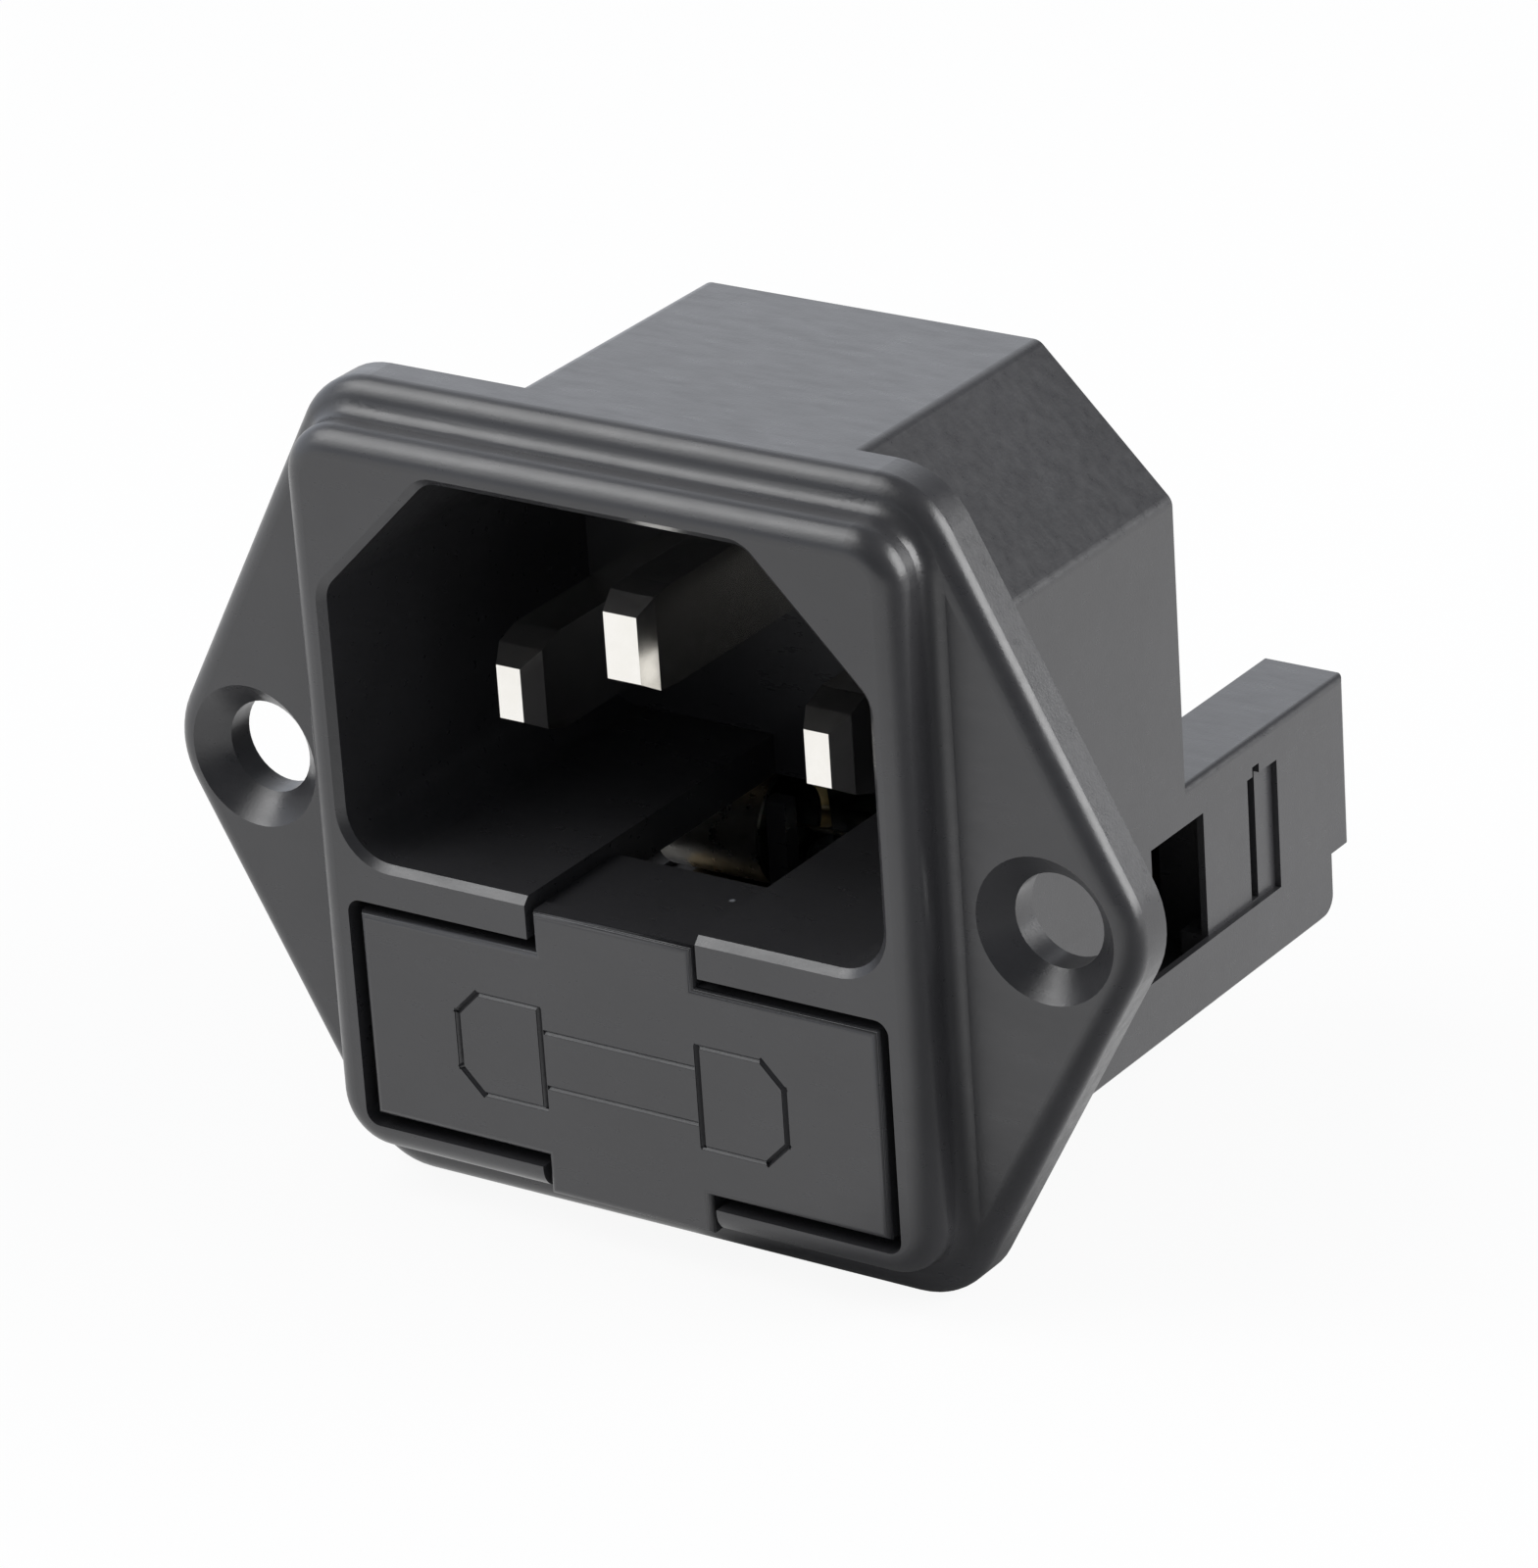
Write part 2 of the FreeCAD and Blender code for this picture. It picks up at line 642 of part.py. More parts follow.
def drawer_tray():
    """Room for the spare fuse behind the plate, and a narrow cradle for the fuse in use."""
    half = tray_half_width
    inner = half - tray_side_wall
    start = plate_back_y - past
    floor = block(-half, half, start, tray_wide_end_y, tray_floor_bottom, tray_floor_top)
    side = block(inner, half, start, tray_wide_end_y, tray_floor_bottom, tray_wall_top)
    cross = block(-half, half, spare_wall_y, spare_wall_y + tray_cross_wall, tray_floor_bottom,
                  tray_wall_top)
    tongue = block(-cradle_half_width, cradle_half_width, tray_wide_end_y - past,
                   cradle_end_y + cradle_rear_wall, tray_floor_bottom, tray_floor_top)
    rear = block(-cradle_half_width, cradle_half_width, cradle_end_y, cradle_end_y + cradle_rear_wall,
                 tray_floor_bottom, tray_wall_top)
    rib_start = fuse_depth - cap_radius - spare_end_gap - cradle_rib_front
    saddle = block(cradle_rib_offset - cradle_rib_width / 2, cradle_rib_offset + cradle_rib_width / 2,
                   rib_start, cradle_end_y + cradle_rear_wall / 2, tray_floor_bottom, fuse_height)
    post = block(cradle_rib_offset - cradle_rib_width / 2, cradle_rib_offset + cradle_rib_width / 2,
                 rib_start, rib_start + cradle_rib_front, tray_floor_bottom, plate_top)
    bore = bar(-half, half, fuse_depth, fuse_height, glass_radius + fuse_seat_clearance)
    saddles = [piece.cut(bore) for piece in both_sides(saddle.fuse(post))]
    tray = floor.fuse(both_sides(side) + [cross, tongue, rear] + saddles)
    return tray.removeSplitter()


def fuse_drawer():
    return drawer_front().fuse(drawer_tray()).removeSplitter()


# ---- every piece, under its own name ----

def mirrored(shape):
    return shape.mirror(Vector(0, 0, 0), Vector(1, 0, 0))


def build():
    power = (power_pin_flat_width, power_pin_flat_height)
    earth = (earth_pin_flat_width, earth_pin_flat_height)
    right_clip = fuse_clip()
    pieces = {
        "housing": housing(),
        "line_pin": pin(pin_x, pin_row_height, pin_set_back, *power, strap_sheet),
        "neutral_pin": pin(-pin_x, pin_row_height, pin_set_back, *power, tab_thickness),
        "earth_pin": pin(0, earth_pin_height, earth_pin_set_back, *earth, tab_thickness),
        "line_strap": line_strap(),
        "neutral_terminal": tab_terminal(-pin_x, pin_row_height, body_rear_y, 270, pin_neck_radius),
        "earth_terminal": tab_terminal(0, earth_pin_height, body_rear_y, 180, pin_neck_radius),
        "line_terminal": tab_terminal(-pin_x, fuse_height, block_rear_y, 90, rivet_radius),
        "right_fuse_clip": right_clip,
        "left_fuse_clip": mirrored(right_clip),
        "strap_rivet": rivet(pin_x, strap_sheet),
        "terminal_rivet": rivet(-pin_x, tab_thickness),
        "fuse_drawer": fuse_drawer(),
    }
    for name, depth in (("fuse", fuse_depth), ("spare", spare_depth)):
        cap = fuse_cap(depth, fuse_height)
        pieces[name + "_glass"] = glass_tube(depth, fuse_height)
        pieces[name + "_cap_right"] = cap
        pieces[name + "_cap_left"] = mirrored(cap)
        pieces[name + "_wire"] = fuse_wire(depth, fuse_height)
    return pieces


os.makedirs("parts", exist_ok=True)
for node, shape in build().items():
    shape.exportStep("parts/" + node + ".step")
    print(f"{node:18s} solids {len(shape.Solids)}  volume {shape.Volume:9.3f}  valid {shape.isValid()}")
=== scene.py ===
# %% [markdown]
# # A mains inlet with a fuse drawer
#
# The real object is a small moulded socket that screws to a panel. A connector goes into its
# recess, and a drawer under the recess holds a glass fuse. The solid parts come from the CAD
# model, so this lesson gives them their finishes, carves the fuse sign into the drawer, and sets
# up the camera, the lights and the floor.

# %% Load the CAD frame
import json
import math

import bpy
import numpy as np
from mathutils import Matrix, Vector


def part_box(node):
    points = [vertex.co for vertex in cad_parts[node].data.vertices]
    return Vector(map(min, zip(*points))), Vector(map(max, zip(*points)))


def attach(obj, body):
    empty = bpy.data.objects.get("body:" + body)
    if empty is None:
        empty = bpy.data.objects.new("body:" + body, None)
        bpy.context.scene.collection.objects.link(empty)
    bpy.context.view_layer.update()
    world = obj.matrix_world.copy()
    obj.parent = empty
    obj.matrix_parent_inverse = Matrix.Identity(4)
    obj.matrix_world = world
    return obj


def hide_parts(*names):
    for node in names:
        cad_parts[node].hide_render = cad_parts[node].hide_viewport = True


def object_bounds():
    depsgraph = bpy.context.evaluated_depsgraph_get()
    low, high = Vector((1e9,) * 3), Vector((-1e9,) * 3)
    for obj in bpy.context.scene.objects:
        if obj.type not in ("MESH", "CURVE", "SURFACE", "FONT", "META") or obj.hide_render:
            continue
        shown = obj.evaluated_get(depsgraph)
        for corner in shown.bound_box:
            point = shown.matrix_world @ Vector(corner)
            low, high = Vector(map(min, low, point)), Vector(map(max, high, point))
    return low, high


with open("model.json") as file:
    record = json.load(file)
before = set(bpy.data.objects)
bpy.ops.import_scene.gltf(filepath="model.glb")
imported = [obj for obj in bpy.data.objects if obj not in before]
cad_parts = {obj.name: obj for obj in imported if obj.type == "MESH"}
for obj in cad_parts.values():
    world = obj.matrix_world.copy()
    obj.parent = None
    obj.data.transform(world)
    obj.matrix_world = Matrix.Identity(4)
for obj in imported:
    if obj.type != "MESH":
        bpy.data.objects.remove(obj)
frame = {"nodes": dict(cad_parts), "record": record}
cad_box = [[float(value) for value in corner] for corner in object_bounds()]
print("CAD box in mm", [[round(value * 1000, 2) for value in corner] for corner in cad_box])

# %% [markdown]
# ## Small helpers for materials
#
# Every finish here is a node tree on a Principled shader. The patterns read Object coordinates, in
# metres, so a grain of a tenth of a millimetre has a noise scale near ten thousand. The helpers
# keep the later cells short: they add a node, do sums, make noise, mix colours and make bump.

# %% Material helpers
MM = 0.001


def new_material(name):
    """A material with a Principled shader; returns the material, its node tree and the shader."""
    material = bpy.data.materials.new(name)
    material.use_nodes = True
    tree = material.node_tree
    shader = tree.nodes["Principled BSDF"]
    return material, tree, shader


def add_node(tree, kind, values=None, **settings):
    """A node of one kind, with settings on the node and values on its input sockets."""
    node = tree.nodes.new(kind)
    for key, value in settings.items():
        setattr(node, key, value)
    for key, value in (values or {}).items():
        node.inputs[key].default_value = value
    return node


def feed(tree, sockets, values):
    """Fills sockets in turn: a node's output is linked, anything else is set as the value."""
    for socket, value in zip(sockets, values):
        if isinstance(value, bpy.types.NodeSocket):
            tree.links.new(value, socket)
        else:
            socket.default_value = value


def maths(tree, operation, *values):
    """One Math node, such as the larger of two values, or their product."""
    node = add_node(tree, "ShaderNodeMath", operation=operation)
    feed(tree, node.inputs, values)
    return node.outputs[0]


def vector_maths(tree, operation, *values, result="Vector"):
    """One Vector Math node, such as a difference or a dot product of two vectors."""
    node = add_node(tree, "ShaderNodeVectorMath", operation=operation)
    feed(tree, node.inputs, values)
    return node.outputs[result]


def noise(tree, size, detail=2.0, roughness=0.5, stretch=(1, 1, 1)):
    """Noise whose cells are about one size across, in metres, stretched along the three axes."""
    place = add_node(tree, "ShaderNodeTexCoord")
    cells_per_metre = [1 / (size * part) for part in stretch]
    mapping = add_node(tree, "ShaderNodeMapping", {"Scale": cells_per_metre})
    pattern = add_node(
        tree, "ShaderNodeTexNoise", {"Scale": 1.0, "Detail": detail, "Roughness": roughness})
    tree.links.new(place.outputs["Object"], mapping.inputs["Vector"])
    tree.links.new(mapping.outputs["Vector"], pattern.inputs["Vector"])
    return pattern.outputs["Fac"]


def remap(tree, value, from_low, from_high, to_low, to_high):
    """Maps a value from one range to another, and holds it inside the new range."""
    node = add_node(tree, "ShaderNodeMapRange")
    feed(tree, node.inputs, (value, from_low, from_high, to_low, to_high))
    return node.outputs["Result"]


def mix_colour(tree, factor, first, second):
    """A colour between two; each may be a colour or another node's output."""
    node = add_node(tree, "ShaderNodeMix", data_type="RGBA")
    tree.links.new(factor, node.inputs["Factor"])
    colours = [(*part, 1.0) if isinstance(part, tuple) else part for part in (first, second)]
    feed(tree, (node.inputs[6], node.inputs[7]), colours)
    return node.outputs[2]


def bump(tree, height, distance, strength=1.0, under=None):
    """Bump from a height pattern; distance is the height in metres of a value of one."""
    node = add_node(tree, "ShaderNodeBump", {"Distance": distance, "Strength": strength})
    tree.links.new(height, node.inputs["Height"])
    if under is not None:
        tree.links.new(under, node.inputs["Normal"])
    return node.outputs["Normal"]


print("one millimetre is", MM, "metres")

# %% [markdown]
# ## Moulded plastic
#
# The housing and the drawer are charcoal thermoplastic from a spark-eroded mould: a fine even
# grain, a satin sheen that is slightly uneven, faint drag marks along the way the part left the
# mould, and a few pale specks of dust. One function makes both, so they match and differ only in
# the size of their colour drift. Dust settles outside, so a box mask keeps it out of the recess.

# %% Moulded plastic
CHARCOAL = (0.0352, 0.0348, 0.037)
DUST = (0.3, 0.31, 0.33)
SPECKS_PER_METRE = 190.0
SPECK_CORE, SPECK_EDGE = 0.018, 0.032
RECESS_LOW, RECESS_HIGH = (-12.4, -3.9, -2.5), (12.4, 12.8, 14.2)


def inside_box(tree, place, low, high):
    """One in a box with two corners in mm: where each |place - middle| / half is under one."""
    middle = [(a + b) / 2 * MM for a, b in zip(low, high)]
    half = [(b - a) / 2 * MM for a, b in zip(low, high)]
    centred = vector_maths(tree, "SUBTRACT", place, middle)
    size = vector_maths(tree, "ABSOLUTE", vector_maths(tree, "DIVIDE", centred, half))
    parts = add_node(tree, "ShaderNodeSeparateXYZ")
    tree.links.new(size, parts.inputs[0])
    largest = maths(tree, "MAXIMUM", parts.outputs[0], parts.outputs[1])
    largest = maths(tree, "MAXIMUM", largest, parts.outputs[2])
    return maths(tree, "LESS_THAN", largest, 1.0)


def dust_specks(tree):
    """One on small round specks outside the recess: near a Voronoi centre, times not in the box."""
    place = add_node(tree, "ShaderNodeTexCoord").outputs["Object"]
    cells = add_node(tree, "ShaderNodeTexVoronoi", {"Scale": SPECKS_PER_METRE, "Randomness": 1.0})
    tree.links.new(place, cells.inputs["Vector"])
    speck = remap(tree, cells.outputs["Distance"], SPECK_CORE, SPECK_EDGE, 1.0, 0.0)
    outside = remap(tree, inside_box(tree, place, RECESS_LOW, RECESS_HIGH), 0.0, 1.0, 1.0, 0.0)
    return maths(tree, "MULTIPLY", speck, outside)


def moulded_plastic(name, drift_size):
    """Charcoal plastic: colour drift, mould grain, drag marks along Y and a few pale specks."""
    material, tree, shader = new_material(name)
    shader.inputs["Specular IOR Level"].default_value = 0.7
    drift = remap(tree, noise(tree, drift_size, 3.0), 0.35, 0.65, 0.0, 1.0)
    darker = tuple(0.86 * part for part in CHARCOAL)
    lighter = tuple(1.1 * part for part in CHARCOAL)
    base = mix_colour(tree, drift, darker, lighter)
    speckled = mix_colour(tree, dust_specks(tree), base, DUST)
    tree.links.new(speckled, shader.inputs["Base Color"])
    sheen = noise(tree, 0.5 * MM, 4.0, 0.65, stretch=(4, 1, 1))
    tree.links.new(remap(tree, sheen, 0.3, 0.7, 0.26, 0.36), shader.inputs["Roughness"])
    grain = noise(tree, 0.11 * MM, 2.0, 0.6)
    drag = noise(tree, 0.16 * MM, 2.0, 0.5, stretch=(1, 26, 1))
    grained = bump(tree, grain, 0.008 * MM, 0.55)
    tree.links.new(bump(tree, drag, 0.004 * MM, 0.4, grained), shader.inputs["Normal"])
    return material


finishes = {
    "housing_plastic": moulded_plastic("housing_plastic", 9.0 * MM),
    "drawer_plastic": moulded_plastic("drawer_plastic", 9.7 * MM),
}
print("plastics:", list(finishes))

# %% [markdown]
# ## Plated and bare metal
#
# The pins are nickel on brass, drawn and then tumbled, so they carry fine lines along their length
# and soft patches. The tabs are tinned, the strap and the rivets are bare brass with a little
# tarnish, and the clips are dull spring bronze, painted darker than bare bronze as shade inside the
# fuse holder. The fuse caps are painted darker than plated nickel, for the same painted shade. One
# row of values makes each: its colour and its worn colour, its roughness, and the size and the
# direction of its lines.

# %% Metals
def metal(name, colour, worn, roughness, line_size, stretch, line_height=0.002 * MM):
    """Metal with patches of a second colour, fine rolled or drawn lines, and uneven gloss."""
    material, tree, shader = new_material(name)
    shader.inputs["Metallic"].default_value = 1.0
    patches = remap(tree, noise(tree, 1.8 * MM, 5.0, 0.6), 0.42, 0.68, 0.0, 1.0)
    tree.links.new(mix_colour(tree, patches, colour, worn), shader.inputs["Base Color"])
    gloss = noise(tree, 0.7 * MM, 4.0, 0.6)
    rough = remap(tree, gloss, 0.3, 0.7, roughness * 0.8, roughness * 1.25)
    tree.links.new(rough, shader.inputs["Roughness"])
    lines = noise(tree, line_size, 2.0, 0.5, stretch=stretch)
    tree.links.new(bump(tree, lines, line_height, 0.7), shader.inputs["Normal"])
    return material


ALONG_X, ALONG_Y, ACROSS_X, EVEN = (20, 1, 1), (1, 24, 1), (1, 18, 18), (1, 1, 1)
metal_rows = [
    ("pin_plating", (0.93, 0.91, 0.87), (0.89, 0.87, 0.82), 0.15, 0.06 * MM, ALONG_Y, 0.0006 * MM),
    ("tab_plating", (0.78, 0.77, 0.74), (0.62, 0.6, 0.56), 0.3, 0.06 * MM, ALONG_Y),
    ("strap_brass", (0.55, 0.4, 0.19), (0.36, 0.25, 0.11), 0.34, 0.07 * MM, ALONG_X),
    # Painted shade: the clips' bronze is darker than bare bronze, as shade inside the fuse holder.
    ("clip_metal", (0.34, 0.28, 0.19), (0.23, 0.18, 0.11), 0.42, 0.06 * MM, ALONG_X),
    ("rivet_metal", (0.72, 0.55, 0.28), (0.5, 0.36, 0.17), 0.33, 0.2 * MM, EVEN),
    # Painted shade: the caps' nickel is darker than the pins' nickel, as shade inside the fuse
    # holder.
    ("fuse_cap_metal", (0.62, 0.6, 0.56), (0.5, 0.48, 0.43), 0.3, 0.05 * MM, ACROSS_X),
    ("fuse_wire_metal", (0.72, 0.62, 0.48), (0.6, 0.5, 0.36), 0.3, 0.1 * MM, ALONG_X),
]
for row in metal_rows:
    finishes[row[0]] = metal(*row)
print("metals:", [row[0] for row in metal_rows])

# %% [markdown]
# ## The fuse's glass
#
# The fuse tube is drawn glass: clear, with a faint green tint and long shallow waves along the
# tube. A Principled shader with full transmission does that, and the waves are a weak bump.

# %% Glass
def drawn_glass(name):
    """Clear glass with shallow draw lines along X."""
    material, tree, shader = new_material(name)
    shader.inputs["Base Color"].default_value = (0.93, 0.97, 0.95, 1.0)
    shader.inputs["Transmission Weight"].default_value = 1.0
    shader.inputs["IOR"].default_value = 1.5
    haze = remap(tree, noise(tree, 1.2 * MM, 3.0), 0.4, 0.8, 0.02, 0.07)
    tree.links.new(haze, shader.inputs["Roughness"])
    waves = noise(tree, 0.5 * MM, 1.0, 0.4, stretch=(20, 1, 1))
    tree.links.new(bump(tree, waves, 0.004 * MM, 0.5), shader.inputs["Normal"])
    return material


finishes["fuse_glass"] = drawn_glass("fuse_glass")
print("finishes in all:", len(finishes))

# %% [markdown]
# ## Give each CAD piece its finish
#
# The record names a material slot for every piece. The CAD meshes stay as they are, and only the
# material in each object's slots changes.

# %% Assign the finishes
slot_of = {row["node"]: row["material_slot"] for row in frame["record"]["subparts"]}


def give_finish(piece, finish):
    """Puts one material in all the material slots of an object, and adds a slot if it has none."""
    if not piece.material_slots:
        piece.data.materials.append(finish)
    for slot in piece.material_slots:
        slot.link = "OBJECT"
        slot.material = finish


for node, piece in frame["nodes"].items():
    give_finish(piece, finishes[slot_of[node]])
print("finished", len(slot_of), "CAD pieces")

# %% [markdown]
# ## The sign carved into the drawer
#
# The drawer's face carries an outline of a fuse, pressed in as thin grooves: two cut-cornered caps
# and two lines for the tube. Painted lines would lie flat, and a bump would vanish from the side,
# so the grooves are cut. Each stroke is a bar with a V-shaped bottom, computed as one array from
# its two end points, and all the bars together are subtracted from a copy of the drawer.

# %% Strokes of the sign
SIGN_MIDDLE = -8.95
CAP_HALF_HEIGHT = 2.12
CAP_INNER = 3.62
CAP_OUTER = 7.5
CORNER = 0.95
TUBE_HALF_HEIGHT = 1.17
CAP_TRIM = 0.1
TUBE_TRIM = 0.25
DEEP = (0.26, 0.2)
FAINT = (0.2, 0.1)


def sign_strokes():
    """Pairs of (x, z) end points in mm, with each stroke's width and depth."""
    top = SIGN_MIDDLE + CAP_HALF_HEIGHT
    low = SIGN_MIDDLE - CAP_HALF_HEIGHT
    rows = []
    for side in (-1, 1):
        inner, outer = side * CAP_INNER, side * CAP_OUTER
        shoulder = outer - side * CORNER
        rows += [
            ((shoulder, top), (outer, top - CORNER), DEEP),
            ((outer, top - CORNER), (outer, low + CORNER), DEEP),
            ((outer, low + CORNER), (shoulder, low), DEEP),
            ((inner, top), (shoulder, top), FAINT),
            ((inner, low), (shoulder, low), FAINT),
            ((inner, top - CAP_TRIM), (inner, low + CAP_TRIM), DEEP),
        ]
    end = CAP_INNER - TUBE_TRIM
    for level in (SIGN_MIDDLE + TUBE_HALF_HEIGHT, SIGN_MIDDLE - TUBE_HALF_HEIGHT):
        rows.append(((-end, level), (end, level), FAINT))
    return rows


strokes = sign_strokes()
print("strokes in the sign:", len(strokes))

# %% [markdown]
# ## Cut the strokes
#
# A stroke is a five-sided bar: its section is a short wall above the face and a V below it. The
# corners are the section's five points at both ends of the stroke, so one broadcast gives them.
# The Boolean modifier is applied, because the piece has to be a plain mesh before it replaces the
# CAD drawer.

# %% One stroke's bar
BAR_ABOVE_FACE = 0.4
WALL_SHARE = 0.25


def groove_cutter(start, end, width, depth, face_y):
    """A closed bar along one stroke: each corner is an end point plus a point of the section."""
    start, end = np.array(start, float), np.array(end, float)
    along = (end - start) / np.linalg.norm(end - start)
    across = np.array([-along[1], along[0]])
    half, wall = width / 2, WALL_SHARE * depth
    above = -BAR_ABOVE_FACE
    section = np.array([(-half, above), (half, above), (half, wall), (0.0, depth), (-half, wall)])
    ends = np.stack([start - along * half, end + along * half])
    flat = ends[:, None, :] + section[None, :, :1] * across[None, None, :]
    corners = np.empty((2, 5, 3))
    corners[:, :, 0] = flat[:, :, 0]
    corners[:, :, 1] = face_y + section[None, :, 1]
    corners[:, :, 2] = flat[:, :, 1]
    sides = [(5 + i, 5 + (i + 1) % 5, (i + 1) % 5, i) for i in range(5)]
    faces = sides + [(0, 1, 2, 3, 4), (9, 8, 7, 6, 5)]
    mesh = bpy.data.meshes.new("stroke")
    mesh.from_pydata((corners.reshape(-1, 3) * MM).tolist(), [], faces)
    return mesh


face_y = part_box("fuse_drawer")[0].y / MM
print("the drawer's face is at y =", round(face_y, 2), "mm")

# %% Carve the drawer
MERGE_DISTANCE = 0.002 * MM
FLAT_ANGLE = 0.0175


def make_active(piece):
    """Selects one object alone and makes it the active one, as Blender's operators need."""
    bpy.ops.object.select_all(action="DESELECT")
    piece.select_set(True)
    bpy.context.view_layer.objects.active = piece


def merged_copy(node, name):
    """A copy of a CAD node with its doubled corners joined and its flat triangles paired."""
    piece = bpy.data.objects.new(name, frame["nodes"][node].data.copy())
    bpy.context.scene.collection.objects.link(piece)
    make_active(piece)
    bpy.ops.object.mode_set(mode="EDIT")
    bpy.ops.mesh.select_all(action="SELECT")
    bpy.ops.mesh.remove_doubles(threshold=MERGE_DISTANCE)
    bpy.ops.mesh.tris_convert_to_quads(face_threshold=FLAT_ANGLE, shape_threshold=FLAT_ANGLE)
    bpy.ops.mesh.tris_convert_to_quads()
    bpy.ops.object.mode_set(mode="OBJECT")
    return piece


def subtract(piece, mesh):
    """Cuts a mesh out of a piece with an applied Boolean modifier."""
    cutter = bpy.data.objects.new("stroke", mesh)
    bpy.context.scene.collection.objects.link(cutter)
    make_active(piece)
    cut = piece.modifiers.new("cut", "BOOLEAN")
    cut.operation = "DIFFERENCE"
    cut.solver = "EXACT"
    cut.object = cutter
    bpy.ops.object.modifier_apply(modifier="cut")
    bpy.data.objects.remove(cutter)


drawer = merged_copy("fuse_drawer", "drawer_carved")
for start, end, (width, depth) in strokes:
    subtract(drawer, groove_cutter(start, end, width, depth, face_y))
give_finish(drawer, finishes["drawer_plastic"])
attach(drawer, "drawer")
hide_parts("fuse_drawer")
print("drawer faces after carving:", len(drawer.data.polygons))

# %% [markdown]
# ## Camera
#
# The camera stands to the right of the inlet, above it, and a long lens keeps the edges nearly
# parallel. Its place and its three axes are given directly: right, up and backwards.

# %% Camera
camera_place = (0.157936, -0.216784, 0.120463)
camera_axes = np.array([
    [0.83057, 0.55347, -0.06180],
    [-0.17883, 0.37015, 0.91160],
    [0.52742, -0.74610, 0.40641],
])
lens_data = bpy.data.cameras.new("camera")
lens_data.sensor_width = 36.0
lens_data.lens = 179.08
lens_data.clip_start = 0.01
camera = bpy.data.objects.new("camera", lens_data)
camera_turn = Matrix(camera_axes.T.tolist()).to_4x4()
camera.matrix_world = Matrix.Translation(camera_place) @ camera_turn
bpy.context.scene.collection.objects.link(camera)
bpy.context.scene.camera = camera
print("camera at", camera_place, "with a lens of", lens_data.lens, "mm")

# %% [markdown]
# ## Floor and background
#
# Black plastic shows what it reflects more than its own colour. The floor and the background are
# white for the camera, and for reflections too, except towards the right, where the studio is
# dark. That dark side gives the flange, the bezel and the countersinks their depth. The camera
# never sees it, and the floor keeps a share of real shading for the soft shadow. Neither the
# floor nor the background is sampled as a lamp, because a lamp's sample has no ray kind, and the
# white in the reflections would lose strength.

# %% The dark side of the studio
DARK_SHARE = 0.07


def direction(azimuth, elevation):
    """A unit vector from two angles in degrees, from +X and from the floor."""
    turn, rise = math.radians(azimuth), math.radians(elevation)
    return (math.cos(turn) * math.cos(rise), math.sin(turn) * math.cos(rise), math.sin(rise))


def fade_towards(tree, place, azimuth, elevation, start, full):
    """One, down to the dark share towards a direction, as their cosine goes from start to full."""
    unit = vector_maths(tree, "NORMALIZE", place)
    dark = direction(azimuth, elevation)
    cosine = vector_maths(tree, "DOT_PRODUCT", unit, dark, result="Value")
    return remap(tree, cosine, start, full, 1.0, DARK_SHARE)


def ray_kinds(tree):
    """Outputs that are one for the rays that see the background: seen directly, and mirrored."""
    path = add_node(tree, "ShaderNodeLightPath").outputs
    direct = maths(tree, "MAXIMUM", path["Is Camera Ray"], path["Is Transmission Ray"])
    return direct, path["Is Glossy Ray"]


print("reflections fade to", DARK_SHARE, "on the dark side")

# %% Floor
floor_level = cad_box[0][2]
floor_half = 0.6
white_share = 0.92


def floor_material():
    """White where the camera or a reflection looks, with a share of real shading for the shadow."""
    material, tree, shader = new_material("floor_paper")
    shader.inputs["Base Color"].default_value = (0.8, 0.8, 0.8, 1.0)
    shader.inputs["Roughness"].default_value = 0.9
    material.cycles.emission_sampling = "NONE"
    place = add_node(tree, "ShaderNodeTexCoord").outputs["Object"]
    flat = vector_maths(tree, "MULTIPLY", place, (1, 1, 0))
    lit = fade_towards(tree, flat, -15, 0, 0.7, 0.98)
    direct, mirrored = ray_kinds(tree)
    glow = add_node(tree, "ShaderNodeEmission", {"Color": (1, 1, 1, 1)})
    tree.links.new(maths(tree, "MAXIMUM", direct, lit), glow.inputs["Strength"])
    seen = maths(tree, "MAXIMUM", direct, mirrored)
    share = maths(tree, "MULTIPLY", seen, white_share)
    mix = add_node(tree, "ShaderNodeMixShader")
    feed(tree, mix.inputs, (share, shader.outputs[0], glow.outputs[0]))
    tree.links.new(mix.outputs[0], tree.nodes["Material Output"].inputs["Surface"])
    return material


floor_mesh = bpy.data.meshes.new("floor")
floor_corners = np.array([(-1, -1), (1, -1), (1, 1), (-1, 1)]) * floor_half
floor_corners = np.column_stack([floor_corners, np.full(4, floor_level)])
floor_mesh.from_pydata(floor_corners.tolist(), [], [(0, 1, 2, 3)])
floor = bpy.data.objects.new("floor", floor_mesh)
bpy.context.scene.collection.objects.link(floor)
floor_mesh.materials.append(floor_material())
print("floor at", round(floor_level / MM, 2), "mm")

# %% Background
studio_level = 0.3


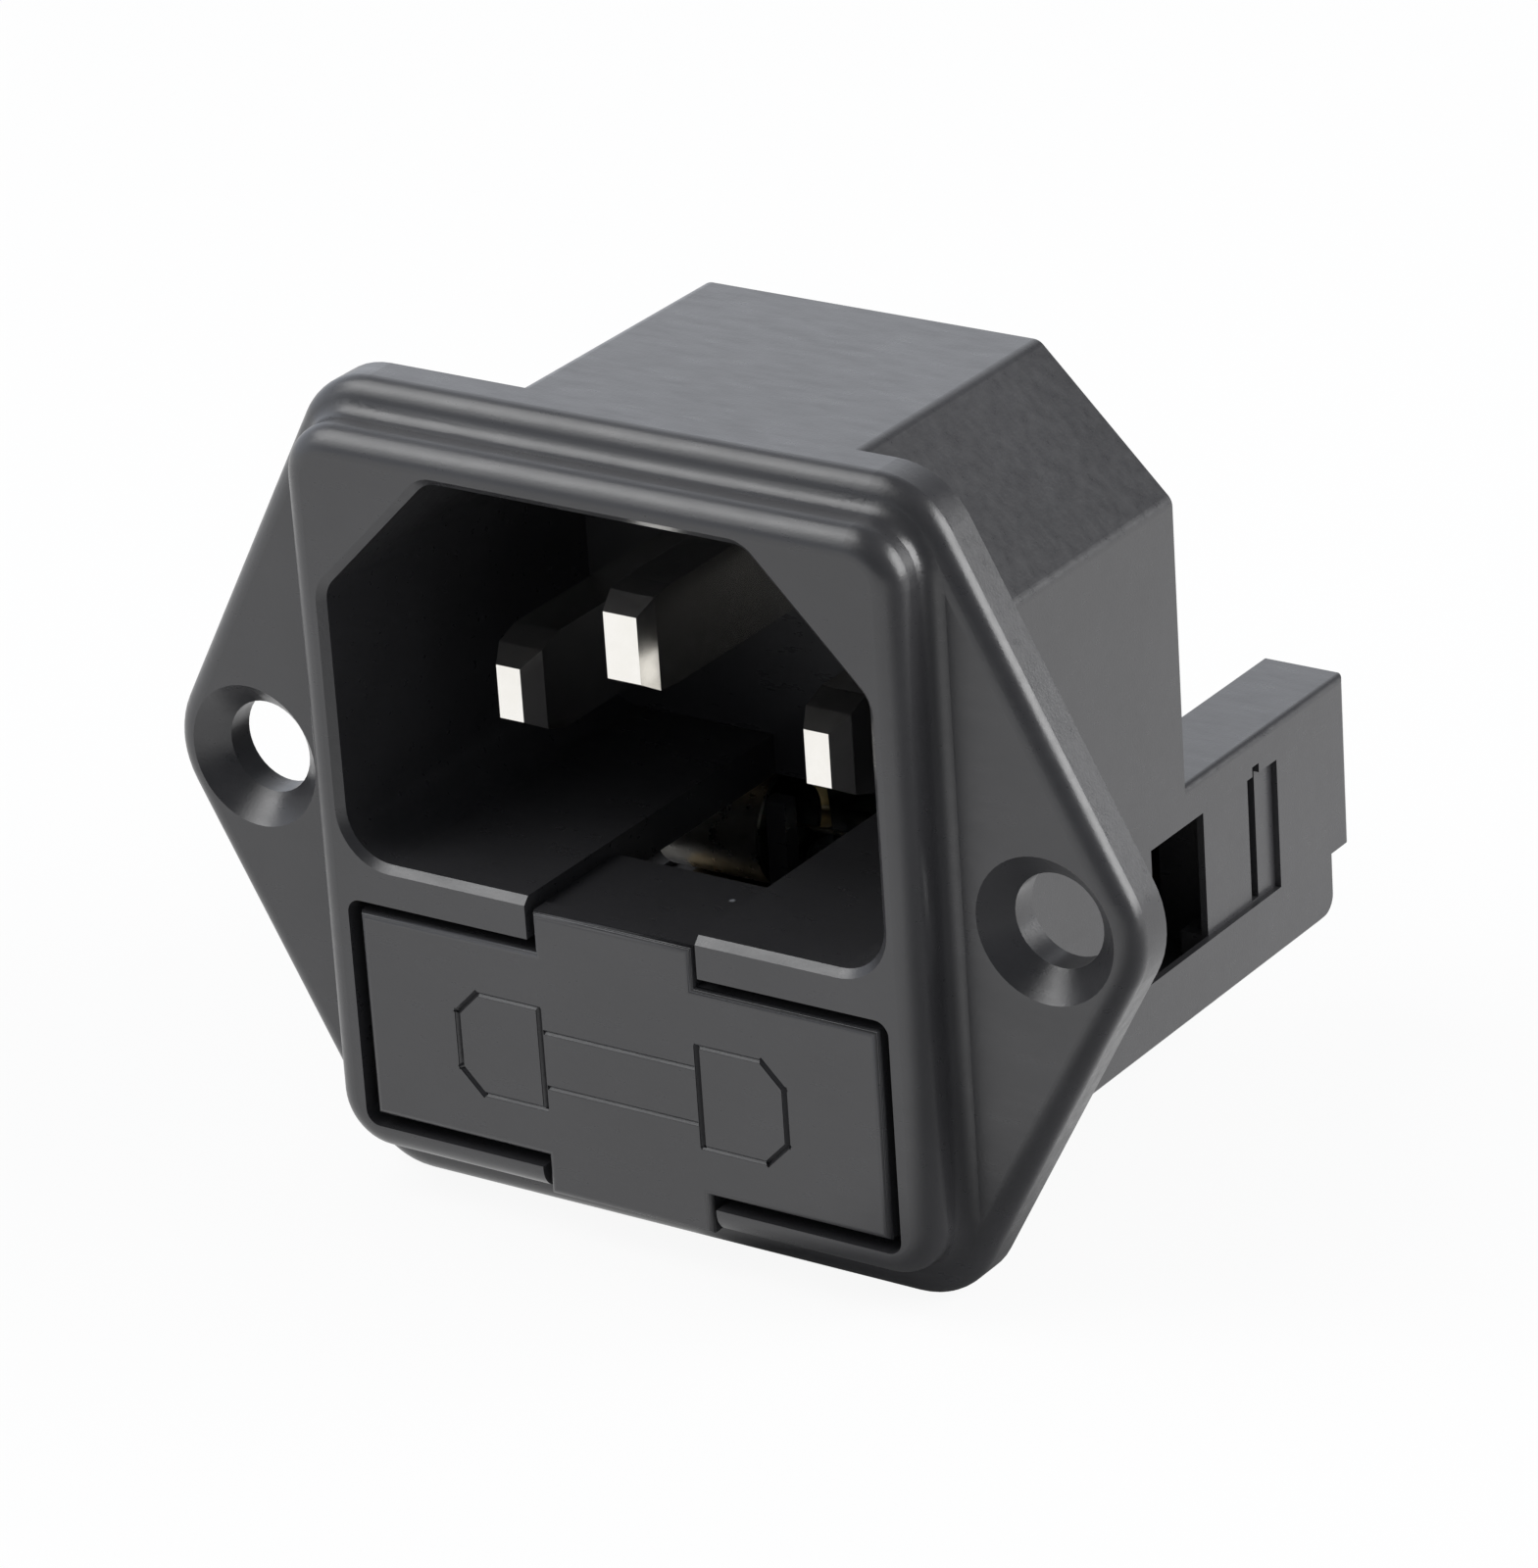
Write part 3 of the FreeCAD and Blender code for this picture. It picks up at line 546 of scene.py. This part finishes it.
def studio_world():
    """White for the camera, a dark side for reflections, and an even level for the rest."""
    world = bpy.data.worlds.new("studio")
    bpy.context.scene.world = world
    world.use_nodes = True
    world.cycles.sampling_method = "NONE"
    tree = world.node_tree
    background = tree.nodes["Background"]
    place = add_node(tree, "ShaderNodeTexCoord").outputs["Generated"]
    direct, mirrored = ray_kinds(tree)
    lit = fade_towards(tree, place, -20, 45, -0.4, 0.4)
    level = remap(tree, mirrored, 0.0, 1.0, studio_level, lit)
    tint = mix_colour(tree, direct, (0.95, 1.0, 1.1), (1.0, 1.0, 1.0))
    tree.links.new(maths(tree, "MAXIMUM", direct, level), background.inputs["Strength"])
    tree.links.new(tint, background.inputs["Color"])


studio_world()
print("the background lights matt surfaces at", studio_level)

# %% [markdown]
# ## Lights
#
# Four large soft panels light the inlet. Two stand in front on the left, above the object, for the
# front faces and the round of the bezel. One low on the right and slightly behind gives the body's
# side and the rim of the flange their light, and a faint one behind does the same for the rear.
# Large panels give long soft highlights.

# %% Lights
panel_distance = 0.5
panel_size = 0.36


def soft_panel(name, azimuth, elevation, power):
    """A square panel that faces the origin, placed by two angles in degrees."""
    data = bpy.data.lights.new(name, "AREA")
    data.shape = "SQUARE"
    data.size = panel_size
    data.energy = power
    lamp = bpy.data.objects.new(name, data)
    bpy.context.scene.collection.objects.link(lamp)
    away = np.array(direction(azimuth, elevation))
    side = np.cross((0.0, 0.0, 1.0), away)
    side /= np.linalg.norm(side)
    axes = Matrix(np.column_stack([side, np.cross(away, side), away]).tolist()).to_4x4()
    lamp.matrix_world = Matrix.Translation((away * panel_distance).tolist()) @ axes
    return lamp


panels = [
    soft_panel("front_left_panel", 225, 42, 0.65),
    soft_panel("left_upper_panel", 200, 55, 1.15),
    soft_panel("right_panel", 25, 24, 2.6),
    soft_panel("rear_panel", 115, 24, 0.2),
]
print("panels:", [panel.name for panel in panels])

# %% [markdown]
# ## Colour handling and the end
#
# The Standard view shows colours as they are written. The size of the CAD model is kept from the
# start, in cad_box.

# %% Finish
bpy.context.scene.view_settings.view_transform = "Standard"
